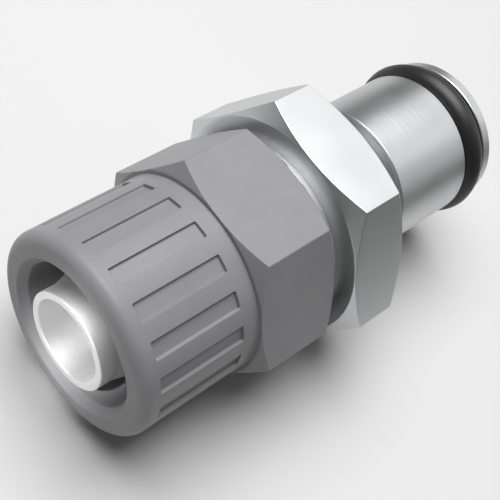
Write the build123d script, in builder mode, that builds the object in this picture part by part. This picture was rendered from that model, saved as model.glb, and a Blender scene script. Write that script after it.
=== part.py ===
"""Quick disconnect coupling insert with a compression fitting for plastic tube.

The insert is the male half of a coupling. Its plug goes into a socket, whose latch drops into
the groove behind the plug. A spring holds the poppet inside shut until the socket pushes it in.
A tube is pushed over the barbed stem, and the nut screws up around it.

Millimetres. X runs along the axis from the tube end (-X) to the tip of the plug (+X), +Z is up.
The origin is on the axis at the plug's latch shoulder, where the plug meets the latch groove.
The insert lies on a flat of its body hexagon.
"""
from build123d import *
import os
from math import radians, sqrt, tan

# Plug, latch groove and tip
plug_diameter = 15.05
plug_length = 10.0
plug_edge = 0.2
latch_groove_depth = 1.175
latch_groove_width = 4.25
latch_groove_fillet = 0.4
tip_land = 1.25
tip_edge = 0.25

# O-ring on the plug, and its gland
plug_ring_section = 2.62
plug_ring_proud = 0.62
gland_side_play = 0.115

# Body hexagon
body_hex = 22.225
body_hex_length = 6.35
body_hex_edge = 0.11
hex_chamfer_angle = 30.0

# Valve bore in the body: chamber, throat, seat cone and lip
chamber_wall = 0.85
throat_wall = 1.12
throat_length = 3.0
seat_width = 1.0
lip_length = 0.5

# Poppet and its O-ring
poppet_head_gap = 0.4
poppet_head_length = 1.25
poppet_nose_gap = 0.2
poppet_nose_inset = 0.25
poppet_stem_diameter = 3.0
poppet_stem_overhang = 1.5
poppet_boss_length = 1.25
poppet_ring_section = 1.5
poppet_ring_gap = 0.05
small_ring_side_play = 0.025

# Guide for the poppet stem and the spring
guide_thickness = 1.0
guide_seat_width = 1.5
guide_ring_width = 2.3
guide_hub_wall = 1.0
guide_hub_length = 3.0
guide_arm_count = 3
guide_arm_width = 1.4
guide_seat_wall = 0.85

# Spring
spring_wire = 0.7
spring_turns = 9
spring_side_play = 0.25
spring_end_gap = 0.03

# Joint between the tube stem and the body
joint_ring_section = 1.0
collar_lap = 0.69
collar_length = 1.32

# Tube that the fitting takes: half inch outside, three eighths inside
tube_outside = 12.7
tube_inside = 9.525
tube_play = 0.41

# Tube stem
stem_wall = 0.735
pilot_play = 0.1425
pilot_length = 1.83
pilot_proud = 0.38
barb_bite = 0.54
barb_ramp_angle = 15.0
barb_land = 0.3
barb_back = 0.5
neck_play = 0.06
tube_depth = 8.5
thread_lead = 0.8
thread_relief_depth = 0.75
thread_relief_length = 1.4
bore_flare_length = 2.4

# Clamp nut
nut_round_diameter = 19.1
nut_hex = 19.85
nut_hex_length = 8.93
nut_length = 21.35
nut_wall = 1.2
nut_front_radius = 1.1
nut_lead_in_width = 0.68
nut_lead_in_length = 0.74
nut_rear_lead = 0.5
nut_shoulder_gap = 1.0
nut_collar_gap = 0.1

# Grip recesses around the nut
recess_count = 18
recess_width = 1.57
recess_depth = 0.35
recess_front_land = 1.83
recess_rear_land = 1.71

# Clearances and small edges
fit_clearance = 0.03
sliding_clearance = 0.08
thread_clearance = 0.05
small_edge = 0.15

# Radii of the body, from the plug inwards and then out to the collar
plug_r = plug_diameter / 2
latch_groove_r = plug_r - latch_groove_depth
chamber_r = latch_groove_r - chamber_wall
gland_r = plug_r + plug_ring_proud - plug_ring_section
throat_r = gland_r - throat_wall
lip_r = throat_r - seat_width
spigot_r = chamber_r + guide_seat_width
joint_bore_r = spigot_r + fit_clearance
joint_ring_bore_r = joint_bore_r + joint_ring_section + fit_clearance
collar_r = joint_ring_bore_r + collar_lap

# Radii of the tube stem and the nut, from the tube
pilot_r = tube_inside / 2 - pilot_play
barb_r = tube_inside / 2 + barb_bite
neck_r = tube_inside / 2 - neck_play
flow_r = pilot_r - stem_wall
nut_passage_r = tube_outside / 2 + tube_play
nut_mouth_r = nut_passage_r + nut_lead_in_width
nut_round_r = nut_round_diameter / 2
nut_thread_r = nut_round_r - recess_depth - nut_wall
thread_r = nut_thread_r - thread_clearance
relief_r = thread_r - thread_relief_depth

# Radii of the valve
poppet_head_r = throat_r - poppet_head_gap
poppet_groove_r = poppet_head_r - poppet_ring_section
poppet_ring_r = poppet_head_r - poppet_ring_section / 2
poppet_nose_r = lip_r - poppet_nose_gap
poppet_stem_r = poppet_stem_diameter / 2
guide_bore_r = poppet_stem_r + sliding_clearance
guide_hub_r = guide_bore_r + guide_hub_wall
guide_ring_r = spigot_r - fit_clearance
guide_opening_r = guide_ring_r - guide_ring_width
spring_inside_r = guide_hub_r + spring_side_play
spring_r = spring_inside_r + spring_wire / 2
poppet_boss_r = spring_inside_r - sliding_clearance * 2

# Stations along X, from the latch shoulder at the origin
gland_end_x = plug_length + plug_ring_section + gland_side_play * 2
tip_x = gland_end_x + tip_land
hex_rear_x = -latch_groove_width
hex_front_x = hex_rear_x - body_hex_length
joint_ring_seat_x = hex_front_x + joint_ring_section + small_ring_side_play
collar_front_x = hex_front_x - collar_length
guide_front_x = hex_rear_x - guide_seat_wall
guide_rear_x = guide_front_x - guide_thickness
nut_rear_x = collar_front_x - nut_collar_gap
nut_front_x = nut_rear_x - nut_length
nut_round_end_x = nut_rear_x - nut_hex_length
recess_front_x = nut_front_x + recess_front_land
recess_rear_x = nut_round_end_x - recess_rear_land
stem_tip_x = nut_front_x - pilot_proud
pilot_end_x = stem_tip_x + pilot_length
barb_x = pilot_end_x + (barb_r - pilot_r) / tan(radians(barb_ramp_angle))
neck_x = barb_x + barb_land + barb_back
tube_stop_x = nut_front_x + tube_depth
nut_shoulder_x = tube_stop_x - nut_shoulder_gap
relief_x = collar_front_x - thread_relief_length

# The seat is a 45 degree cone behind the lip, and the throat opens into the chamber at 45
seat_front_x = tip_x - lip_length
seat_rear_x = seat_front_x - seat_width
throat_rear_x = seat_rear_x - throat_length
chamber_front_x = throat_rear_x - (chamber_r - throat_r)

# The poppet's O-ring stands off the seat cone by its gap
ring_to_cone = sqrt(2) * (poppet_ring_section / 2 + poppet_ring_gap)
poppet_ring_x = seat_front_x + lip_r - poppet_ring_r - ring_to_cone
poppet_groove_front_x = poppet_ring_x + poppet_ring_section / 2 + small_ring_side_play
poppet_groove_rear_x = poppet_ring_x - poppet_ring_section / 2 - small_ring_side_play
poppet_head_rear_x = poppet_groove_rear_x - poppet_head_length
poppet_boss_x = poppet_head_rear_x - poppet_boss_length
poppet_nose_x = tip_x - poppet_nose_inset
poppet_tail_x = guide_rear_x - poppet_stem_overhang

os.makedirs("parts", exist_ok=True)

# Plug body: hexagon, latch groove, plug, O-ring gland and tip, bored from the hexagon's side
body_corner_r = body_hex / sqrt(3)
body_face_r = body_hex / 2 - body_hex_edge
body_chamfer = (body_corner_r - body_face_r) * tan(radians(hex_chamfer_angle))
with BuildPart() as plug_body:
    with BuildSketch(Plane.YZ.offset(hex_front_x)):
        RegularPolygon(radius=body_hex / 2, side_count=6, major_radius=False)
    extrude(amount=body_hex_length)
    with BuildSketch(Plane.XZ):
        with BuildLine():
            Polyline(
                (hex_front_x, 0),
                (hex_front_x, body_face_r),
                (hex_front_x + body_chamfer, body_corner_r),
                (hex_rear_x - body_chamfer, body_corner_r),
                (hex_rear_x, body_face_r),
                (hex_rear_x, 0),
                close=True,
            )
        make_face()
    revolve(axis=Axis.X, mode=Mode.INTERSECT)
    with BuildSketch(Plane.XZ):
        with BuildLine():
            Polyline(
                (guide_rear_x, 0),
                (guide_rear_x, latch_groove_r),
                (0, latch_groove_r),
                (0, plug_r - plug_edge),
                (plug_edge, plug_r),
                (plug_length - plug_edge, plug_r),
                (plug_length, plug_r - plug_edge),
                (plug_length, gland_r),
                (gland_end_x, gland_r),
                (gland_end_x, plug_r - small_edge),
                (gland_end_x + small_edge, plug_r),
                (tip_x - tip_edge, plug_r),
                (tip_x, plug_r - tip_edge),
                (tip_x, 0),
                close=True,
            )
        make_face()
    revolve(axis=Axis.X)
    hex_rear_circles = plug_body.edges().filter_by(GeomType.CIRCLE).filter_by_position(
        Axis.X, hex_rear_x, hex_rear_x
    )
    fillet(hex_rear_circles.sort_by(SortBy.RADIUS)[0], radius=latch_groove_fillet)
    with BuildSketch(Plane.XZ):
        with BuildLine():
            Polyline(
                (hex_front_x, 0),
                (hex_front_x, joint_ring_bore_r),
                (joint_ring_seat_x, joint_ring_bore_r),
                (joint_ring_seat_x, joint_bore_r),
                (guide_front_x, joint_bore_r),
                (guide_front_x, chamber_r),
                (chamber_front_x, chamber_r),
                (throat_rear_x, throat_r),
                (seat_rear_x, throat_r),
                (seat_front_x, lip_r),
                (tip_x, lip_r),
                (tip_x, 0),
                close=True,
            )
        make_face()
    revolve(axis=Axis.X, mode=Mode.SUBTRACT)
plug_body.part.label = "plug_body"
export_step(plug_body.part, "parts/plug_body.step")

# O-ring in the plug's gland
with BuildPart() as plug_o_ring:
    with BuildSketch(Plane.XZ):
        with Locations(((plug_length + gland_end_x) / 2, gland_r + plug_ring_section / 2)):
            Circle(plug_ring_section / 2)
    revolve(axis=Axis.X)
plug_o_ring.part.label = "plug_o_ring"
export_step(plug_o_ring.part, "parts/plug_o_ring.step")

# Tube stem: pilot, barb, neck, tube stop, nut thread, relief, collar and spigot
with BuildPart() as tube_stem:
    with BuildSketch(Plane.XZ):
        with BuildLine():
            Polyline(
                (stem_tip_x + small_edge, flow_r),
                (stem_tip_x, flow_r + small_edge),
                (stem_tip_x, pilot_r - small_edge),
                (stem_tip_x + small_edge, pilot_r),
                (pilot_end_x, pilot_r),
                (barb_x, barb_r),
                (barb_x + barb_land, barb_r),
                (neck_x, neck_r),
                (tube_stop_x, neck_r),
                (tube_stop_x, relief_r),
                (tube_stop_x + thread_lead, thread_r),
                (relief_x - thread_lead, thread_r),
                (relief_x, relief_r),
                (collar_front_x, relief_r),
                (collar_front_x, collar_r - small_edge),
                (collar_front_x + small_edge, collar_r),
                (hex_front_x, collar_r),
                (hex_front_x, spigot_r),
                (guide_rear_x, spigot_r),
                (guide_rear_x, guide_opening_r),
                (guide_rear_x - bore_flare_length, flow_r),
                close=True,
            )
        make_face()
    revolve(axis=Axis.X)
tube_stem.part.label = "tube_stem"
export_step(tube_stem.part, "parts/tube_stem.step")

# O-ring between the collar and the body, around the root of the spigot
with BuildPart() as stem_o_ring:
    with BuildSketch(Plane.XZ):
        with Locations(((hex_front_x + joint_ring_seat_x) / 2, joint_bore_r + joint_ring_section / 2)):
            Circle(joint_ring_section / 2)
    revolve(axis=Axis.X)
stem_o_ring.part.label = "stem_o_ring"
export_step(stem_o_ring.part, "parts/stem_o_ring.step")

# Poppet: nose, O-ring groove, head, spring boss and guide stem
with BuildPart() as valve_poppet:
    with BuildSketch(Plane.XZ):
        with BuildLine():
            Polyline(
                (poppet_tail_x, 0),
                (poppet_tail_x, poppet_stem_r - small_edge),
                (poppet_tail_x + small_edge, poppet_stem_r),
                (poppet_boss_x - (poppet_boss_r - poppet_stem_r), poppet_stem_r),
                (poppet_boss_x, poppet_boss_r),
                (poppet_head_rear_x, poppet_boss_r),
                (poppet_head_rear_x, poppet_head_r),
                (poppet_groove_rear_x, poppet_head_r),
                (poppet_groove_rear_x, poppet_groove_r),
                (poppet_groove_front_x, poppet_groove_r),
                (poppet_groove_front_x, poppet_nose_r),
                (poppet_nose_x - small_edge, poppet_nose_r),
                (poppet_nose_x, poppet_nose_r - small_edge),
                (poppet_nose_x, 0),
                close=True,
            )
        make_face()
    revolve(axis=Axis.X)
valve_poppet.part.label = "valve_poppet"
export_step(valve_poppet.part, "parts/valve_poppet.step")

# O-ring on the poppet
with BuildPart() as poppet_o_ring:
    with BuildSketch(Plane.XZ):
        with Locations((poppet_ring_x, poppet_ring_r)):
            Circle(poppet_ring_section / 2)
    revolve(axis=Axis.X)
poppet_o_ring.part.label = "poppet_o_ring"
export_step(poppet_o_ring.part, "parts/poppet_o_ring.step")

# Guide: outer ring, arms and a long hub for the poppet stem
with BuildPart() as valve_guide:
    with BuildSketch(Plane.YZ.offset(guide_rear_x)):
        Circle(guide_ring_r)
        Circle(guide_opening_r, mode=Mode.SUBTRACT)
        with PolarLocations((guide_opening_r + guide_hub_r) / 2, guide_arm_count, start_angle=90):
            Rectangle(guide_opening_r - guide_hub_r + guide_hub_wall, guide_arm_width)
    extrude(amount=guide_thickness)
    with BuildSketch(Plane.YZ.offset(guide_rear_x)):
        Circle(guide_hub_r)
    extrude(amount=guide_thickness + guide_hub_length)
    hub_end = valve_guide.edges().filter_by(GeomType.CIRCLE).sort_by(Axis.X)[-1]
    chamfer(hub_end, length=small_edge)
    with BuildSketch(Plane.YZ.offset(guide_rear_x)):
        Circle(guide_bore_r)
    extrude(amount=guide_thickness + guide_hub_length, mode=Mode.SUBTRACT)
valve_guide.part.label = "valve_guide"
export_step(valve_guide.part, "parts/valve_guide.step")

# Spring between the guide's arms and the poppet's head, with its ends ground flat
spring_rear_x = guide_front_x + spring_end_gap
spring_front_x = poppet_head_rear_x - spring_end_gap
spring_length = spring_front_x - spring_rear_x
with BuildPart() as valve_spring:
    with BuildLine():
        coil = Helix(
            pitch=spring_length / spring_turns,
            height=spring_length,
            radius=spring_r,
            center=(spring_rear_x, 0, 0),
            direction=(1, 0, 0),
        )
    with BuildSketch(Plane(coil @ 0, z_dir=coil % 0)):
        Circle(spring_wire / 2)
    sweep(path=coil, is_frenet=True)
    split(bisect_by=Plane.YZ.offset(spring_rear_x), keep=Keep.TOP)
    split(bisect_by=Plane.YZ.offset(spring_front_x), keep=Keep.BOTTOM)
valve_spring.part.label = "valve_spring"
export_step(valve_spring.part, "parts/valve_spring.step")

# Clamp nut: round grip with recesses, then a hexagon chamfered at both ends
nut_corner_r = nut_hex / sqrt(3)
nut_face_r = nut_hex / 2
nut_chamfer = (nut_corner_r - nut_face_r) * tan(radians(hex_chamfer_angle))
with BuildPart() as clamp_nut:
    with BuildSketch(Plane.YZ.offset(nut_round_end_x)):
        RegularPolygon(radius=nut_hex / 2, side_count=6, major_radius=False)
    extrude(amount=nut_hex_length)
    with BuildSketch(Plane.XZ):
        with BuildLine():
            Polyline(
                (nut_round_end_x, 0),
                (nut_round_end_x, nut_face_r),
                (nut_round_end_x + nut_chamfer, nut_corner_r),
                (nut_rear_x - nut_chamfer, nut_corner_r),
                (nut_rear_x, nut_face_r),
                (nut_rear_x, 0),
                close=True,
            )
        make_face()
    revolve(axis=Axis.X, mode=Mode.INTERSECT)
    with BuildSketch(Plane.YZ.offset(nut_front_x)):
        Circle(nut_round_r)
    extrude(amount=nut_length - nut_hex_length)
    front_edge = clamp_nut.edges().filter_by(GeomType.CIRCLE).sort_by(Axis.X)[0]
    fillet(front_edge, radius=nut_front_radius)
    with BuildSketch(Plane.XZ):
        with BuildLine():
            Polyline(
                (nut_front_x, 0),
                (nut_front_x, nut_mouth_r),
                (nut_front_x + nut_lead_in_length, nut_passage_r),
                (nut_shoulder_x, nut_passage_r),
                (nut_shoulder_x, nut_thread_r),
                (nut_rear_x - nut_rear_lead, nut_thread_r),
                (nut_rear_x, nut_thread_r + nut_rear_lead),
                (nut_rear_x, 0),
                close=True,
            )
        make_face()
    revolve(axis=Axis.X, mode=Mode.SUBTRACT)
    with BuildSketch(Plane.YZ.offset(recess_front_x)):
        with PolarLocations(nut_round_r, recess_count, start_angle=90):
            Rectangle(recess_depth * 2, recess_width)
    extrude(amount=recess_rear_x - recess_front_x, mode=Mode.SUBTRACT)
clamp_nut.part.label = "clamp_nut"
export_step(clamp_nut.part, "parts/clamp_nut.step")
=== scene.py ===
# %% [markdown]
# # A quick disconnect coupling insert
#
# The real object is the plug half of a small hose coupling. A bright plated body is turned from
# hexagon bar. A bright barbed stem screws into it, and a grey moulded nut screws up the stem
# to clamp a plastic tube. A black O-ring sits near the tip of the plug.
#
# The lesson builds each piece the way its maker does. Turned pieces are drawn as half a section
# and spun. Hexagons are bar stock that a cone has trimmed. The moulded nut is a solid with its
# pockets cut out, and every edge is broken a little at the end, as on any real part.

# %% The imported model
from collections import namedtuple
from math import atan, cos, degrees, pi, radians, sin, sqrt, tan

import bmesh
import bpy
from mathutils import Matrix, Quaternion, Vector


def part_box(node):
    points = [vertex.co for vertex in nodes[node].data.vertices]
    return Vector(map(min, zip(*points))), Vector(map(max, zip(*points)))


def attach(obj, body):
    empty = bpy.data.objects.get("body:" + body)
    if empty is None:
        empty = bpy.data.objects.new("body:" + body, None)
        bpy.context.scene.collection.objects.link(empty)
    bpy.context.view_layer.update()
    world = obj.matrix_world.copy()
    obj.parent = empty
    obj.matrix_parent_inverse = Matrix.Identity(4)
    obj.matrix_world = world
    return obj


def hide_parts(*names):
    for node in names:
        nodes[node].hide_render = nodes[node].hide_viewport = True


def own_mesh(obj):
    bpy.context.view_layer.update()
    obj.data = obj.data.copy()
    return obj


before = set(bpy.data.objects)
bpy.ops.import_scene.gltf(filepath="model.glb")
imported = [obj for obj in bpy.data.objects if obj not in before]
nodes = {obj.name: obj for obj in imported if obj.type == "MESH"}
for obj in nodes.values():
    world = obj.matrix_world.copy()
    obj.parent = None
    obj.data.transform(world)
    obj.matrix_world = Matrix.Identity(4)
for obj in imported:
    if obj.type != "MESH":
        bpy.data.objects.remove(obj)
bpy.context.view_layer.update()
MM = 0.001

# %% [markdown]
# ## Sizes read from the model
#
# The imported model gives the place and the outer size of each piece, so the new pieces are drawn
# from its boxes. The X axis runs along the insert, from the tube end to the tip of the plug.
# Everything is drawn in millimetres, and a finished piece is scaled to metres once.

# %% Boxes in millimetres
def box_mm(name):
    """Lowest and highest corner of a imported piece, in millimetres."""
    low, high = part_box(name)
    return low / MM, high / MM


nut_low, nut_high = box_mm("clamp_nut")
body_low, body_high = box_mm("plug_body")
stem_low, stem_high = box_mm("tube_stem")
tip_ring_low, tip_ring_high = box_mm("plug_o_ring")
floor_z = body_low.z
print("nut from", round(nut_low.x, 2), "to", round(nut_high.x, 2))
print("floor at", round(floor_z, 3))

# %% [markdown]
# ## Camera
#
# The picture looks down on the insert from the tube end, with the axis rising to the right. A
# camera is placed by where it stands, what it looks at and how far it is rolled. The roll makes
# the axis climb across the frame although the insert lies flat on the floor.

# %% Camera
CAMERA_PLACE = Vector((-68.104, -21.276, 80.238)) * MM
CAMERA_TARGET = Vector((-13.785, -1.210, 0.0)) * MM
CAMERA_ROLL = radians(34.95)
CAMERA_LENS = 77.55

camera_data = bpy.data.cameras.new("camera")
camera_data.lens = CAMERA_LENS
camera_data.sensor_width = 36.0
camera_data.clip_start = 0.005
camera_data.clip_end = 100.0
camera = bpy.data.objects.new("camera", camera_data)
bpy.context.scene.collection.objects.link(camera)
camera.location = CAMERA_PLACE
camera.rotation_mode = "QUATERNION"
look = (CAMERA_TARGET - CAMERA_PLACE).to_track_quat("-Z", "Y")
camera.rotation_quaternion = look @ Quaternion((0, 0, 1), CAMERA_ROLL)
bpy.context.scene.camera = camera
print("camera stands", round((CAMERA_TARGET - CAMERA_PLACE).length / MM, 1), "mm away")

# %% [markdown]
# ## Colours and nodes
#
# A colour is written as the hex value that a paint chart would give, and one function turns it
# to the linear numbers that the shader wants. One more function adds a node and wires it, so a
# material reads as a short list.

# %% Helpers for materials
def linear(hex_value):
    """A hex colour such as #AABBCC as linear red, green, blue and alpha."""
    parts = [int(hex_value[i:i + 2], 16) / 255 for i in (1, 3, 5)]
    return [p / 12.92 if p <= 0.04045 else ((p + 0.055) / 1.055) ** 2.4 for p in parts] + [1.0]


def add_node(tree, kind, settings=None, sockets=None):
    """Add a node. A socket takes a plain value or the output of another node."""
    made = tree.nodes.new(kind)
    for name, value in (settings or {}).items():
        setattr(made, name, value)
    for name, value in (sockets or {}).items():
        if isinstance(value, bpy.types.NodeSocket):
            tree.links.new(value, made.inputs[name])
        else:
            made.inputs[name].default_value = value
    return made


def new_material(name, hex_colour, metallic, roughness):
    """A material with its shader: the tree, the shader and the object coordinates."""
    material = bpy.data.materials.new(name)
    material.use_nodes = True
    tree = material.node_tree
    shader = tree.nodes["Principled BSDF"]
    shader.inputs["Base Color"].default_value = linear(hex_colour)
    shader.inputs["Metallic"].default_value = metallic
    shader.inputs["Roughness"].default_value = roughness
    place = add_node(tree, "ShaderNodeTexCoord").outputs["Object"]
    return material, tree, shader, place


# %% [markdown]
# ## Chrome plate on turned brass
#
# Chromium is a slightly grey mirror. It is plated thinly over brass that was turned on a lathe,
# so the tool's spiral still shows through as rings: along a cylinder they follow X, and on a
# flat face they follow the distance from the axis. The sum of the two numbers draws both, and
# most cones as well. Only a 45 degree cone that narrows towards the tip gets no rings, and those
# are small or hidden here. An image of rings would need a UV map on every piece, while a noise
# on one number needs none and shows no seam.
#
# The real feed is about 0.1 mm a turn, some one pixel of the render, so the rings are drawn four
# times as coarse. They give the eye a soft mirror with faint bands. Two grades are made: the
# plate of the stem is duller than that of the body, and its colour is painted lighter as well.
# That lighter colour is painted light: it brightens the stem deep in the nut's mouth, where the
# lamps hardly reach.

# %% Chrome on turned faces
TURNING_PITCH = 0.4 * MM
TURNING_DEPTH = 0.008 * MM
TURNED_WEAR_SIZE = 5.0 * MM


def turned_chrome(name, hex_colour, metallic, glossiest, dullest):
    """Chrome plate over lathe rings, with its roughness between two values."""
    material, tree, shader, place = new_material(name, hex_colour, metallic, glossiest)
    split = add_node(tree, "ShaderNodeSeparateXYZ", sockets={"Vector": place})
    across = add_node(tree, "ShaderNodeCombineXYZ",
                      sockets={"Y": split.outputs["Y"], "Z": split.outputs["Z"]})
    radius = add_node(tree, "ShaderNodeVectorMath", {"operation": "LENGTH"},
                      {"Vector": across.outputs["Vector"]})
    along = add_node(tree, "ShaderNodeMath", {"operation": "ADD"},
                     {0: split.outputs["X"], 1: radius.outputs["Value"]})
    turns = add_node(tree, "ShaderNodeMath", {"operation": "DIVIDE"},
                     {0: along.outputs["Value"], 1: TURNING_PITCH})
    rings = add_node(tree, "ShaderNodeTexNoise", {"noise_dimensions": "1D"},
                     {"W": turns.outputs["Value"], "Scale": 1.0, "Detail": 2.0})
    bump = add_node(tree, "ShaderNodeBump", None,
                    {"Height": rings.outputs["Fac"], "Strength": 1.0, "Distance": TURNING_DEPTH})
    tree.links.new(bump.outputs["Normal"], shader.inputs["Normal"])
    wear = add_node(tree, "ShaderNodeTexNoise", None,
                    {"Vector": place, "Scale": 1 / TURNED_WEAR_SIZE, "Detail": 3.0})
    gloss = add_node(tree, "ShaderNodeMapRange", None,
                     {"Value": wear.outputs["Fac"], "From Min": 0.0, "From Max": 1.0,
                      "To Min": glossiest, "To Max": dullest})
    tree.links.new(gloss.outputs["Result"], shader.inputs["Roughness"])
    return material


chrome_turned = turned_chrome("chrome_plate_turned", "#C6C7C8", 1.0, 0.3, 0.46)
# The stem's plate is rougher, and it is painted lighter than the body's to stand in for light in
# the nut's mouth.
matt_chrome_painted_light = turned_chrome("matt_plate_painted_light", "#E4E4E4", 1.0, 0.5, 0.64)
print("made", chrome_turned.name, "and", matt_chrome_painted_light.name)

# %% [markdown]
# ## Chrome plate on bar flats
#
# The six flats of the body are never touched by the lathe. They keep the long fine lines that
# the drawing die left along the bar. A noise stretched fifty times along X makes them, and it
# runs true on all six flats without a UV map. The real lines are too fine for the render and
# are drawn 0.4 mm wide to show. They spread each reflection a little across the bar.

# %% Chrome on hexagon flats
DRAW_LINE_WIDTH = 0.4 * MM
DRAW_LINE_DEPTH = 0.012 * MM
DRAW_LINE_STRETCH = 50
BAR_WEAR_SIZE = 6.0 * MM


def drawn_chrome():
    """Bright chrome plate over the long lines of drawn bar."""
    material, tree, shader, place = new_material("chrome_plate_bar", "#C6C7C8", 1.0, 0.26)
    mapped = add_node(tree, "ShaderNodeMapping", None,
                      {"Vector": place, "Scale": (1 / DRAW_LINE_STRETCH, 1.0, 1.0)})
    lines = add_node(tree, "ShaderNodeTexNoise", None,
                     {"Vector": mapped.outputs["Vector"], "Scale": 1 / DRAW_LINE_WIDTH,
                      "Detail": 2.0})
    bump = add_node(tree, "ShaderNodeBump", None,
                    {"Height": lines.outputs["Fac"], "Strength": 1.0, "Distance": DRAW_LINE_DEPTH})
    tree.links.new(bump.outputs["Normal"], shader.inputs["Normal"])
    wear = add_node(tree, "ShaderNodeTexNoise", None,
                    {"Vector": place, "Scale": 1 / BAR_WEAR_SIZE, "Detail": 3.0})
    gloss = add_node(tree, "ShaderNodeMapRange", None,
                     {"Value": wear.outputs["Fac"], "From Min": 0.0, "From Max": 1.0,
                      "To Min": 0.28, "To Max": 0.42})
    tree.links.new(gloss.outputs["Result"], shader.inputs["Roughness"])
    return material


chrome_bar = drawn_chrome()
print("made", chrome_bar.name)

# %% [markdown]
# ## Moulded grey acetal
#
# Acetal is a dense, slightly waxy plastic, so its shine is soft. The mould was spark eroded,
# which leaves a very fine pebble grain, and the melt leaves faint clouds. Both are noises, one
# on the height and one on the colour. The grain could be cut into the mesh, but the real one is
# far smaller than a pixel. It is drawn coarser, 0.3 mm wide, and even so it hardly shows.

# %% Grey acetal
GRAIN_SIZE = 0.3 * MM
GRAIN_DEPTH = 0.015 * MM
CLOUD_SIZE = 4.0 * MM


def grey_acetal():
    """Moulded grey acetal with a fine eroded grain."""
    material, tree, shader, place = new_material("moulded_grey_acetal", "#7D7D7F", 0.0, 0.42)
    shader.inputs["IOR"].default_value = 1.48
    shader.inputs["Specular IOR Level"].default_value = 0.35
    clouds = add_node(tree, "ShaderNodeTexNoise", None,
                      {"Vector": place, "Scale": 1 / CLOUD_SIZE, "Detail": 4.0})
    colour = add_node(tree, "ShaderNodeMix", {"data_type": "RGBA"},
                      {"Factor": clouds.outputs["Fac"],
                       "A": linear("#78787A"), "B": linear("#828284")})
    tree.links.new(colour.outputs["Result"], shader.inputs["Base Color"])
    grain = add_node(tree, "ShaderNodeTexNoise", None,
                     {"Vector": place, "Scale": 1 / GRAIN_SIZE, "Detail": 2.0})
    bump = add_node(tree, "ShaderNodeBump", None,
                    {"Height": grain.outputs["Fac"], "Strength": 1.0, "Distance": GRAIN_DEPTH})
    tree.links.new(bump.outputs["Normal"], shader.inputs["Normal"])
    return material


acetal_grey = grey_acetal()
print("made", acetal_grey.name)

# %% [markdown]
# ## Nitrile rubber, white acetal and spring wire
#
# The O-rings are black nitrile with a trace of grease, so they are dark with a soft broad shine.
# The poppet and its guide are white acetal, and the spring is drawn stainless wire. All three
# differ only in their numbers, so one function makes them.

# %% Rubber, white acetal and wire
def simple_finish(name, hex_colour, metallic, roughness, grain, depth):
    """A finish with one noise on its height, grain wide and depth deep."""
    material, tree, shader, place = new_material(name, hex_colour, metallic, roughness)
    noise = add_node(tree, "ShaderNodeTexNoise", None,
                     {"Vector": place, "Scale": 1 / grain, "Detail": 3.0})
    bump = add_node(tree, "ShaderNodeBump", None,
                    {"Height": noise.outputs["Fac"], "Strength": 0.4, "Distance": depth})
    tree.links.new(bump.outputs["Normal"], shader.inputs["Normal"])
    return material


black_rubber = simple_finish("black_nitrile", "#1A1A1B", 0.0, 0.45, 0.15 * MM, 0.004 * MM)
acetal_white = simple_finish("turned_white_acetal", "#E6E4DE", 0.0, 0.38, 0.12 * MM, 0.002 * MM)
spring_wire = simple_finish("drawn_stainless_wire", "#B9B8B5", 1.0, 0.3, 0.1 * MM, 0.001 * MM)
print("made", black_rubber.name, acetal_white.name, spring_wire.name)

# %% [markdown]
# ## Turning a piece
#
# A lathe makes any shape whose section is the same all the way round. Cylinders and cones could
# be joined for it, but half a section spun about the axis has no joints to weld. The section
# starts as a plane merged to one point, and each corner is reached by extruding that point.
# Corners are rounded with a vertex bevel before the spin, so the radius is a real one all the
# way round.

# %% Turning helpers
TURN_STEPS = 180
WELD = 0.0005
Corner = namedtuple("Corner", "x r rounding", defaults=(0.0,))


def start_clean():
    """Leave edit mode and select nothing."""
    if bpy.context.object and bpy.context.object.mode != "OBJECT":
        bpy.ops.object.mode_set(mode="OBJECT")
    bpy.ops.object.select_all(action="DESELECT")


def select_only(piece):
    """Select one piece and make it active."""
    start_clean()
    bpy.context.view_layer.objects.active = piece
    piece.select_set(True)


def select_points(piece, places):
    """In edit mode, select the points that lie at the given places and nothing else."""
    mesh = bmesh.from_edit_mesh(piece.data)
    for vert in mesh.verts:
        vert.select_set(any((vert.co - Vector(place)).length < WELD for place in places))
    mesh.select_flush_mode()
    bmesh.update_edit_mesh(piece.data)


def draw_outline(name, corners):
    """Draw a closed outline in the XZ plane by extruding one point. Edit mode stays on."""
    start_clean()
    bpy.ops.mesh.primitive_plane_add(size=1)
    piece = bpy.context.object
    piece.name = name
    bpy.ops.object.mode_set(mode="EDIT")
    bpy.ops.mesh.select_mode(type="VERT")
    bpy.ops.mesh.merge(type="CENTER")
    here = corners[0]
    bpy.ops.transform.translate(value=(here.x, 0, here.r))
    for corner in corners[1:]:
        step = (corner.x - here.x, 0, corner.r - here.r)
        bpy.ops.mesh.extrude_vertices_move(TRANSFORM_OT_translate={"value": step})
        here = corner
    select_points(piece, [(corner.x, 0, corner.r) for corner in (corners[0], corners[-1])])
    bpy.ops.mesh.edge_face_add()
    return piece


def turned(name, corners, segments=4):
    """Spin a closed section about X. A corner is its x, its radius and its rounding."""
    piece = draw_outline(name, corners)
    for rounding in sorted({corner.rounding for corner in corners if corner.rounding}):
        places = [(corner.x, 0, corner.r) for corner in corners if corner.rounding == rounding]
        select_points(piece, places)
        bpy.ops.mesh.bevel(offset=rounding, segments=segments, affect="VERTICES")
    bpy.ops.mesh.select_all(action="SELECT")
    bpy.ops.mesh.spin(steps=TURN_STEPS, angle=2 * pi, center=(0, 0, 0), axis=(1, 0, 0))
    bpy.ops.mesh.select_all(action="SELECT")
    bpy.ops.mesh.remove_doubles(threshold=WELD)
    bpy.ops.mesh.delete_loose()
    bpy.ops.mesh.select_all(action="SELECT")
    bpy.ops.mesh.normals_make_consistent(inside=False)
    bpy.ops.object.mode_set(mode="OBJECT")
    return piece


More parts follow.
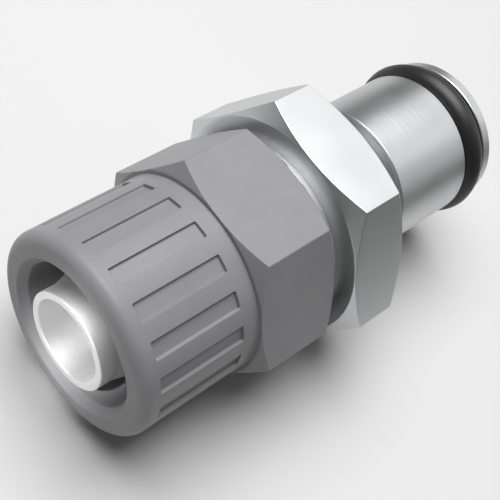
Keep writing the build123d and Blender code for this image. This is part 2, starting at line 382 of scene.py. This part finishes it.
# %% [markdown]
# ## Hexagons, joins and cuts
#
# A hexagon with chamfered corners is bar stock that a cone has trimmed: the overlap of a six
# sided prism and a turned drum with sloping ends. The curved edge between a flat and a chamfer
# then comes out as it does on the machine, which a bevel on the prism wouldn't give. Booleans
# do the overlap, the joins and the cuts. A tool stands a spare length out of what it cuts.

# %% Hexagons and booleans
SPARE = 2.0
CONE_ANGLE = 30


def combine(piece, tool, operation):
    """Boolean one piece with a tool, which is used up."""
    select_only(piece)
    boolean = piece.modifiers.new("combine", "BOOLEAN")
    boolean.operation = operation
    boolean.solver = "EXACT"
    boolean.object = tool
    bpy.ops.object.modifier_apply(modifier=boolean.name)
    bpy.data.objects.remove(tool)


def hexagon(name, low_x, high_x, across_flats, face_radius):
    """A hexagon along X with flats up and down, trimmed by 30 degree cones at both ends."""
    corner_r = across_flats / sqrt(3)
    start_clean()
    bpy.ops.mesh.primitive_cylinder_add(
        vertices=6, radius=corner_r, depth=high_x - low_x + SPARE,
        location=((low_x + high_x) / 2, 0, 0), rotation=(0, pi / 2, 0))
    bar = bpy.context.object
    bar.name = name
    bpy.ops.object.transform_apply(location=True, rotation=True, scale=True)
    drum_r = corner_r + SPARE
    slope = (drum_r - face_radius) * tan(radians(CONE_ANGLE))
    drum = turned("drum", [
        Corner(low_x, 0), Corner(low_x, face_radius), Corner(low_x + slope, drum_r),
        Corner(high_x - slope, drum_r), Corner(high_x, face_radius), Corner(high_x, 0)])
    combine(bar, drum, "INTERSECT")
    return bar


# %% [markdown]
# ## Finishing a piece
#
# No real edge is perfectly sharp. A small bevel on every sharp edge catches the light in a thin
# line, and weighted normals keep the wide faces flat in the shading. A bevel in the material
# would look alike, but the exported mesh would lose it. Then the piece is scaled from
# millimetres to metres, gets its materials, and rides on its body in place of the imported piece.

# %% Finishing helpers
SHORTEST_EDGE = 0.03
SHARP_ANGLE = 25
FLAT_ANGLE = 0.2
BEVEL_SEGMENTS = 3


def shade_smooth(piece, angle):
    """Shade a piece smooth, but for its edges sharper than the angle in degrees."""
    select_only(piece)
    bpy.ops.object.shade_smooth_by_angle(angle=radians(angle))


def break_edges(piece, width):
    """Bevel the sharp edges and keep wide faces flat in the shading."""
    select_only(piece)
    bpy.ops.object.mode_set(mode="EDIT")
    bpy.ops.mesh.select_all(action="SELECT")
    bpy.ops.mesh.remove_doubles(threshold=SHORTEST_EDGE)
    bpy.ops.mesh.dissolve_limited(angle_limit=radians(FLAT_ANGLE))
    bpy.ops.object.mode_set(mode="OBJECT")
    bevel = piece.modifiers.new("edges", "BEVEL")
    bevel.width = width
    bevel.segments = BEVEL_SEGMENTS
    bevel.limit_method = "ANGLE"
    bevel.angle_limit = radians(SHARP_ANGLE)
    bevel.miter_outer = "MITER_ARC"
    bevel.use_clamp_overlap = False
    bpy.ops.object.modifier_apply(modifier=bevel.name)
    shade_smooth(piece, SHARP_ANGLE)
    weighted = piece.modifiers.new("flat faces", "WEIGHTED_NORMAL")
    weighted.keep_sharp = True
    bpy.ops.object.modifier_apply(modifier=weighted.name)


def finish_piece(piece, node, body, materials):
    """Scale to metres, give materials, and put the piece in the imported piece's place."""
    select_only(piece)
    piece.scale = (MM, MM, MM)
    bpy.ops.object.transform_apply(location=True, rotation=True, scale=True)
    for material in materials:
        piece.data.materials.append(material)
    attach(piece, body)
    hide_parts(node)
    print(piece.name, "has", len(piece.data.polygons), "faces")


def paint_faces(piece, chosen, index):
    """Give the material at index to the faces that the test chooses."""
    count = 0
    for face in piece.data.polygons:
        if chosen(face):
            face.material_index = index
            count += 1
    print(piece.name, "has", count, "faces of", piece.data.materials[index].name)


# %% [markdown]
# ## The clamp nut
#
# The nut is one moulding: a round grip with a big front radius, eighteen shallow pockets for the
# fingers, and a hexagon for a spanner. Pockets inset into a ring of faces would get floors that
# bend with the grip, and the real floors are flat. So the grip is turned, and eighteen blocks
# set round the axis are joined into one tool that cuts the pockets. The hexagon is added then,
# and the bore is cut last.

# %% Clamp nut
NUT_ROUND_R = 9.55
NUT_HEX_LENGTH = 8.93
NUT_FRONT_RADIUS = 1.1
NUT_PASSAGE_R = 6.76
NUT_LEAD_IN_WIDTH = 0.68
NUT_LEAD_IN_LENGTH = 0.74
NUT_THREAD_R = 8.0
NUT_SHOULDER_DEPTH = 7.5
NUT_REAR_LEAD = 0.5
RECESS_COUNT = 18
RECESS_WIDTH = 1.57
RECESS_DEPTH = 0.35
RECESS_FRONT_LAND = 1.83
RECESS_REAR_LAND = 1.71
NUT_ROUNDING_STEPS = 10

nut_round_end = nut_high.x - NUT_HEX_LENGTH
nut_flats = nut_high.z - nut_low.z
clamp_nut = turned("moulded_clamp_nut", [
    Corner(nut_low.x, 0), Corner(nut_low.x, NUT_ROUND_R, NUT_FRONT_RADIUS),
    Corner(nut_round_end + SPARE, NUT_ROUND_R), Corner(nut_round_end + SPARE, 0)],
    segments=NUT_ROUNDING_STEPS)

recess_low = nut_low.x + RECESS_FRONT_LAND
recess_high = nut_round_end - RECESS_REAR_LAND
recess_middle_r = NUT_ROUND_R - RECESS_DEPTH + SPARE / 2
recess_blocks = []
for index in range(RECESS_COUNT):
    turn = 2 * pi * index / RECESS_COUNT
    start_clean()
    bpy.ops.mesh.primitive_cube_add(
        size=1, rotation=(-turn, 0, 0), scale=(recess_high - recess_low, RECESS_WIDTH, SPARE),
        location=((recess_low + recess_high) / 2,
                  recess_middle_r * sin(turn), recess_middle_r * cos(turn)))
    bpy.ops.object.transform_apply(location=True, rotation=True, scale=True)
    recess_blocks.append(bpy.context.object)
for block in recess_blocks:
    block.select_set(True)
bpy.ops.object.join()
combine(clamp_nut, bpy.context.object, "DIFFERENCE")
nut_hexagon = hexagon("nut_hexagon", nut_round_end, nut_high.x, nut_flats, nut_flats / 2)
combine(clamp_nut, nut_hexagon, "UNION")

nut_shoulder = nut_low.x + NUT_SHOULDER_DEPTH
nut_mouth_r = NUT_PASSAGE_R + NUT_LEAD_IN_WIDTH
mouth_slope = NUT_LEAD_IN_WIDTH / NUT_LEAD_IN_LENGTH
nut_bore = turned("nut_bore", [
    Corner(nut_low.x - SPARE, 0), Corner(nut_low.x - SPARE, nut_mouth_r + SPARE * mouth_slope),
    Corner(nut_low.x + NUT_LEAD_IN_LENGTH, NUT_PASSAGE_R), Corner(nut_shoulder, NUT_PASSAGE_R),
    Corner(nut_shoulder, NUT_THREAD_R), Corner(nut_high.x - NUT_REAR_LEAD, NUT_THREAD_R),
    Corner(nut_high.x + SPARE, NUT_THREAD_R + NUT_REAR_LEAD + SPARE),
    Corner(nut_high.x + SPARE, 0)])
combine(clamp_nut, nut_bore, "DIFFERENCE")
break_edges(clamp_nut, width=0.1)
finish_piece(clamp_nut, "clamp_nut", "nut", [acetal_grey])

# %% [markdown]
# ## The plug body
#
# The body is one piece of brass: hexagon, latch groove, plug, O-ring gland and a short land at
# the tip. Flats can't be spun, so the outside is turned in one section and joined to a trimmed
# hexagon. The inside is a stepped bore with a sloping seat behind the lip, cut by a turned tool.

# %% Plug body
HEX_REAR_X = -4.25
HEX_EDGE = 0.11
LATCH_GROOVE_R = 6.35
LATCH_GROOVE_FILLET = 0.4
PLUG_R = 7.525
PLUG_LENGTH = 10.0
PLUG_EDGE = 0.2
GLAND_R = 5.525
GLAND_END_X = 12.85
TIP_EDGE = 0.25
THROAT_R = 4.405
LIP_R = 3.405
LIP_LENGTH = 0.5
THROAT_LENGTH = 3.0
CHAMBER_R = 5.5
SPIGOT_BORE_R = 7.03
SPIGOT_BORE_END_X = -5.1
RING_BORE_R = 8.06
RING_BORE_END_X = -9.575

body_flats = body_high.z - body_low.z
plug_body = hexagon(
    "turned_plug_body", body_low.x, HEX_REAR_X, body_flats, body_flats / 2 - HEX_EDGE)
tip_x = body_high.x
seat_front = tip_x - LIP_LENGTH
seat_rear = seat_front - (THROAT_R - LIP_R)
throat_rear = seat_rear - THROAT_LENGTH
chamber_front = throat_rear - (CHAMBER_R - THROAT_R)
plug = turned("plug", [
    Corner(HEX_REAR_X - SPARE, 0), Corner(HEX_REAR_X - SPARE, LATCH_GROOVE_R),
    Corner(HEX_REAR_X - LATCH_GROOVE_FILLET, LATCH_GROOVE_R),
    Corner(0, LATCH_GROOVE_R, 0.1), Corner(0, PLUG_R - PLUG_EDGE), Corner(PLUG_EDGE, PLUG_R),
    Corner(PLUG_LENGTH - PLUG_EDGE, PLUG_R), Corner(PLUG_LENGTH, PLUG_R - PLUG_EDGE),
    Corner(PLUG_LENGTH, GLAND_R, 0.1), Corner(GLAND_END_X, GLAND_R, 0.1),
    Corner(GLAND_END_X, PLUG_R, 0.15), Corner(tip_x - TIP_EDGE, PLUG_R),
    Corner(tip_x, PLUG_R - TIP_EDGE), Corner(tip_x, 0)])
combine(plug_body, plug, "UNION")
body_bore = turned("body_bore", [
    Corner(body_low.x - SPARE, 0), Corner(body_low.x - SPARE, RING_BORE_R),
    Corner(RING_BORE_END_X, RING_BORE_R), Corner(RING_BORE_END_X, SPIGOT_BORE_R),
    Corner(SPIGOT_BORE_END_X, SPIGOT_BORE_R), Corner(SPIGOT_BORE_END_X, CHAMBER_R),
    Corner(chamber_front, CHAMBER_R), Corner(throat_rear, THROAT_R), Corner(seat_rear, THROAT_R),
    Corner(seat_front, LIP_R), Corner(tip_x + SPARE, LIP_R), Corner(tip_x + SPARE, 0)])
combine(plug_body, body_bore, "DIFFERENCE")
break_edges(plug_body, width=0.05)
finish_piece(plug_body, "plug_body", "insert", [chrome_turned, chrome_bar])

# %% [markdown]
# ## The drawn finish on the flats
#
# All of the body has the turned finish so far. The six flats could be picked by hand, but a face
# on a flat is easy to tell: it faces away from the axis, at the distance of the flats.

# %% Bar lines on the flats
FLAT_TOLERANCE = 0.02 * MM
FACES_OUTWARDS = 0.999
flat_distance = body_flats / 2 * MM


def on_bar_flat(face):
    """True for a face that lies on one of the six flats of the body."""
    across = Vector((face.normal.y, face.normal.z))
    reach = face.center.y * face.normal.y + face.center.z * face.normal.z
    return across.length > FACES_OUTWARDS and abs(reach - flat_distance) < FLAT_TOLERANCE


paint_faces(plug_body, on_bar_flat, 1)

# %% [markdown]
# ## The tube stem
#
# The stem is turned in one go and bored through. A tube starts on the short pilot, stretches up
# the 15 degree barb, drops behind it on the neck and stops at the shoulder. Once the fitting is
# together only its end in the nut's mouth and its collar show, and the thread and the spigot are
# hidden. It could be joined from a barb, a thread and a collar, but one section keeps every step
# in line, as the lathe does.

# %% Tube stem
FLOW_R = 3.885
PILOT_R = 4.62
PILOT_LENGTH = 1.83
BARB_R = 5.3025
BARB_ANGLE = 15
BARB_LAND = 0.3
BARB_BACK = 0.5
NECK_R = 4.7025
TUBE_DEPTH = 8.5
THREAD_R = 7.95
THREAD_LEAD = 0.75
RELIEF_R = 7.2
RELIEF_LENGTH = 1.4
COLLAR_LENGTH = 1.32
SPIGOT_R = 7.0
OPENING_R = 4.67
FLARE_LENGTH = 2.4
RIM_EDGE = 0.15

tip = stem_low.x
pilot_end = tip + PILOT_LENGTH
barb_x = pilot_end + (BARB_R - PILOT_R) / tan(radians(BARB_ANGLE))
neck_x = barb_x + BARB_LAND + BARB_BACK
tube_stop = nut_low.x + TUBE_DEPTH
collar_front = body_low.x - COLLAR_LENGTH
collar_r = stem_high.z
spigot_end = stem_high.x
relief_front = collar_front - RELIEF_LENGTH
tube_stem = turned("turned_tube_stem", [
    Corner(tip, FLOW_R, RIM_EDGE), Corner(tip, PILOT_R, RIM_EDGE),
    Corner(pilot_end, PILOT_R, 0.05), Corner(barb_x, BARB_R, 0.06),
    Corner(barb_x + BARB_LAND, BARB_R, 0.06), Corner(neck_x, NECK_R),
    Corner(tube_stop, NECK_R, 0.1), Corner(tube_stop, RELIEF_R),
    Corner(tube_stop + THREAD_LEAD, THREAD_R), Corner(relief_front - THREAD_LEAD, THREAD_R),
    Corner(relief_front, RELIEF_R), Corner(collar_front, RELIEF_R, 0.1),
    Corner(collar_front, collar_r, RIM_EDGE), Corner(body_low.x, collar_r),
    Corner(body_low.x, SPIGOT_R), Corner(spigot_end, SPIGOT_R),
    Corner(spigot_end, OPENING_R), Corner(spigot_end - FLARE_LENGTH, FLOW_R)])
break_edges(tube_stem, width=0.03)
print("stem is", round(spigot_end - tip, 2), "mm long, before its thread is cut")

# %% [markdown]
# ## The thread that the nut climbs
#
# A lathe cuts a thread by drawing a pointed tool along a turning bar. The same groove is made
# here as a solid: the outline of the tool's point is wound along the axis with a Screw modifier,
# and a boolean takes it out of the stem. A thread drawn in the material would be lost in the
# exported mesh. The groove runs out into the relief in front of the collar.

# %% Thread on the stem
THREAD_PITCH = 1.5
THREAD_DEPTH = 0.7
THREAD_FLANK = 30
ROOT_FLAT = 0.2
TOOL_PROUD = 0.25
THREAD_STEPS = 72


def thread_cutter(name, low_x, high_x, crest_r, depth):
    """The groove of a V thread about X, as a solid that stands a little proud of the crest."""
    root_r = crest_r - depth
    top_r = crest_r + TOOL_PROUD
    half_root = ROOT_FLAT / 2
    half_top = half_root + (top_r - root_r) * tan(radians(THREAD_FLANK))
    section = [Corner(low_x + half_root, root_r), Corner(low_x + half_top, top_r),
               Corner(low_x - half_top, top_r), Corner(low_x - half_root, root_r)]
    cutter = draw_outline(name, section)
    bpy.ops.object.mode_set(mode="OBJECT")
    winding = cutter.modifiers.new("winding", "SCREW")
    winding.axis = "X"
    turns = (high_x - low_x) / THREAD_PITCH
    winding.angle = 2 * pi * turns
    winding.screw_offset = high_x - low_x
    winding.steps = winding.render_steps = round(THREAD_STEPS * turns)
    bpy.ops.object.modifier_apply(modifier=winding.name)
    bpy.ops.object.mode_set(mode="EDIT")
    bpy.ops.mesh.select_all(action="SELECT")
    bpy.ops.mesh.fill_holes(sides=len(section))
    bpy.ops.mesh.select_all(action="SELECT")
    bpy.ops.mesh.normals_make_consistent(inside=False)
    bpy.ops.object.mode_set(mode="OBJECT")
    return cutter


thread_start = tube_stop - THREAD_PITCH
thread_end = collar_front - RELIEF_LENGTH / 2
groove = thread_cutter("thread_groove", thread_start, thread_end, THREAD_R, THREAD_DEPTH)
combine(tube_stem, groove, "DIFFERENCE")
shade_smooth(tube_stem, SHARP_ANGLE)
finish_piece(tube_stem, "tube_stem", "insert", [matt_chrome_painted_light])

# %% [markdown]
# ## The O-ring
#
# An O-ring is moulded in two halves, and where the mould meets it keeps a hair line of flash
# round its outer and its inner edge. A plain torus has none, so the section is a circle with
# those two tiny ridges on it, spun about the axis.

# %% O-ring at the tip
FLASH_HEIGHT = 0.03
RING_POINTS = 32
RING_SMOOTH_ANGLE = 40

ring_section = tip_ring_high.x - tip_ring_low.x
ring_centre_x = (tip_ring_low.x + tip_ring_high.x) / 2
ring_centre_r = tip_ring_high.z - ring_section / 2


def ring_corner(index):
    """One point of the O-ring's section, with a ridge at its outermost and innermost points."""
    turn = 2 * pi * index / RING_POINTS
    at_flash = index % (RING_POINTS // 2) == 0
    reach = ring_section / 2 - (0 if at_flash else FLASH_HEIGHT)
    return Corner(ring_centre_x + reach * sin(turn), ring_centre_r + reach * cos(turn))


plug_ring = turned("tip_o_ring", [ring_corner(index) for index in range(RING_POINTS)])
shade_smooth(plug_ring, RING_SMOOTH_ANGLE)
finish_piece(plug_ring, "plug_o_ring", "insert", [black_rubber])

# %% [markdown]
# ## The valve spring
#
# The spring is wound from stainless wire, here at one even pitch with its two ends cut flat. It
# shortens when the poppet is pushed in. A new coil could be wound with a Screw modifier, but the
# imported one has the right turns already. A copy of its mesh is merged and smoothed.

# %% Valve spring
SPRING_SMOOTH_ANGLE = 50

coil_spring = nodes["valve_spring"].copy()
coil_spring.data = coil_spring.data.copy()
coil_spring.name = "wound_valve_spring"
coil_spring.data.materials.clear()
bpy.context.scene.collection.objects.link(coil_spring)
select_only(coil_spring)
bpy.ops.object.mode_set(mode="EDIT")
bpy.ops.mesh.select_all(action="SELECT")
bpy.ops.mesh.remove_doubles(threshold=WELD * MM)
bpy.ops.object.mode_set(mode="OBJECT")
shade_smooth(coil_spring, SPRING_SMOOTH_ANGLE)
coil_spring.data.materials.append(spring_wire)
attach(coil_spring, "insert")
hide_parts("valve_spring")
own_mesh(coil_spring)

# %% [markdown]
# ## Pieces that stay as packed
#
# The poppet, its O-ring, the guide and the stem's O-ring have their final form in the packed
# model, and at most a little of them shows through the bores. They could be remade, but a finish
# on the material slots they already have is enough.

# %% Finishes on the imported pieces
kept_finishes = {
    "stem_o_ring": black_rubber,
    "poppet_o_ring": black_rubber,
    "valve_poppet": acetal_white,
    "valve_guide": acetal_white,
}
for name, material in kept_finishes.items():
    for slot in nodes[name].material_slots:
        slot.material = material
print("finished", len(kept_finishes), "packed pieces")

# %% [markdown]
# ## Floor
#
# The insert lies on a plain pale sheet. A curved backdrop would hide the horizon too, but a flat
# sheet that is sixty metres wide does it from every side. It is nearly matt, so that it mirrors
# neither the lights nor the metal.

# %% Floor
FLOOR_SIZE = 60.0
start_clean()
bpy.ops.mesh.primitive_plane_add(size=FLOOR_SIZE, location=(0, 0, floor_z * MM))
floor = bpy.context.object
floor.name = "floor"
floor_material, _, floor_shader, _ = new_material("pale_floor", "#C6C6C6", 0.0, 0.9)
floor_shader.inputs["Specular IOR Level"].default_value = 0.1
floor.data.materials.append(floor_material)
print("floor is", FLOOR_SIZE, "m wide and touches the body's lowest flat")

# %% [markdown]
# ## Soft panels
#
# Bright metal only shows what is around it, so the studio is part of the look. One big soft
# panel overhead lights the insert. A bare lamp would leave hard sparks on the metal instead. Two
# more panels show only in shiny surfaces, as reflector cards do, and draw the bright band along
# the plug.

# %% Soft panels
def panel(name, place_mm, size_mm, radiance):
    """A soft square light that faces the insert. Its power follows from its brightness."""
    data = bpy.data.lights.new(name, "AREA")
    data.shape = "SQUARE"
    data.size = size_mm * MM
    data.energy = radiance * pi * data.size ** 2
    light = bpy.data.objects.new(name, data)
    bpy.context.scene.collection.objects.link(light)
    light.location = Vector(place_mm) * MM
    light.rotation_mode = "QUATERNION"
    light.rotation_quaternion = (-light.location).to_track_quat("-Z", "Y")
    return light


key = panel("key_panel", place_mm=(2, 80, 285), size_mm=280, radiance=3.6)
shine = panel("shine_panel", place_mm=(219, 5, 200), size_mm=340, radiance=0.62)
side_shine = panel("side_shine_panel", place_mm=(205, -165, 125), size_mm=260, radiance=0.55)
for reflector in (shine, side_shine):
    reflector.visible_diffuse = False
for light in (key, shine, side_shine):
    print(light.name, "takes", round(light.data.energy, 3), "W")

# %% [markdown]
# ## A spot into the mouth
#
# The tube passage and the end of the stem lie deep in the mouth of the nut, where the big panel
# hardly reaches. Brighter panels would reach in too, but they would wash out the outside, so a
# narrow soft spot is aimed at the mouth alone.

# %% Spot into the mouth
SPOT_BLEND = 0.6
SPOT_SOFTNESS = 2.0


def spot(name, place_mm, target_mm, width_mm, energy):
    """A soft spot that lights a small round patch about the target."""
    data = bpy.data.lights.new(name, "SPOT")
    light = bpy.data.objects.new(name, data)
    bpy.context.scene.collection.objects.link(light)
    light.location = Vector(place_mm) * MM
    aim = (Vector(target_mm) - Vector(place_mm)) * MM
    data.spot_size = 2 * atan(width_mm * MM / 2 / aim.length)
    data.spot_blend = SPOT_BLEND
    data.shadow_soft_size = SPOT_SOFTNESS * MM
    data.energy = energy
    light.rotation_mode = "QUATERNION"
    light.rotation_quaternion = aim.to_track_quat("-Z", "Y")
    return light


mouth_spot = spot(
    "mouth_spot", place_mm=(-130, -5, 130), target_mm=(-34, 0, 0), width_mm=11, energy=2.4)
print("spot opens", round(degrees(mouth_spot.data.spot_size), 2), "degrees")

# %% [markdown]
# ## Even light on the floor
#
# A panel lights the floor most just under it. A sun is as strong everywhere, so a very soft one
# from the side of the overhead panel evens the floor out, and a faint white world fills the
# deepest shadows.

# %% Even light on the floor
SKY_STRENGTH = 2.2
SKY_SOFTNESS = 50
SKY_DIRECTION = Vector((-0.02, -0.25, -1.0))
WORLD_STRENGTH = 0.12

sky_data = bpy.data.lights.new("sky", "SUN")
sky_data.energy = SKY_STRENGTH
sky_data.angle = radians(SKY_SOFTNESS)
sky = bpy.data.objects.new("sky", sky_data)
bpy.context.scene.collection.objects.link(sky)
sky.rotation_mode = "QUATERNION"
sky.rotation_quaternion = SKY_DIRECTION.to_track_quat("-Z", "Y")
world = bpy.data.worlds.new("studio")
bpy.context.scene.world = world
world.use_nodes = True
background = world.node_tree.nodes["Background"]
background.inputs["Color"].default_value = linear("#FFFFFF")
background.inputs["Strength"].default_value = WORLD_STRENGTH
bpy.context.scene.view_settings.view_transform = "Standard"
print("sky is", SKY_SOFTNESS, "degrees wide, over a world of strength", WORLD_STRENGTH)

# %% [markdown]
# ## A dark flag
#
# The side flats mirror the pale floor and look washed out. A photographer stands a dark card
# beside the part for that, out of the picture. This one is low and shows in reflections only.
# The camera doesn't see it, it casts no shadow and it dims no matt surface.

# %% Dark flag
FLAG_Y = -46.0
FLAG_LENGTH = 200.0
FLAG_HEIGHT = 24.0
start_clean()
bpy.ops.mesh.primitive_plane_add(
    size=1, location=(0, FLAG_Y * MM, (floor_z + FLAG_HEIGHT / 2) * MM), rotation=(pi / 2, 0, 0))
flag = bpy.context.object
flag.name = "dark_flag"
flag.scale = (FLAG_LENGTH * MM, FLAG_HEIGHT * MM, 1)
bpy.ops.object.transform_apply(location=False, rotation=False, scale=True)
flag_material, _, _, _ = new_material("grey_card", "#5A5A5A", 0.0, 1.0)
flag.data.materials.append(flag_material)
flag.visible_camera = False
flag.visible_shadow = False
flag.visible_diffuse = False
print("flag is", [round(size / MM) for size in flag.dimensions], "mm")
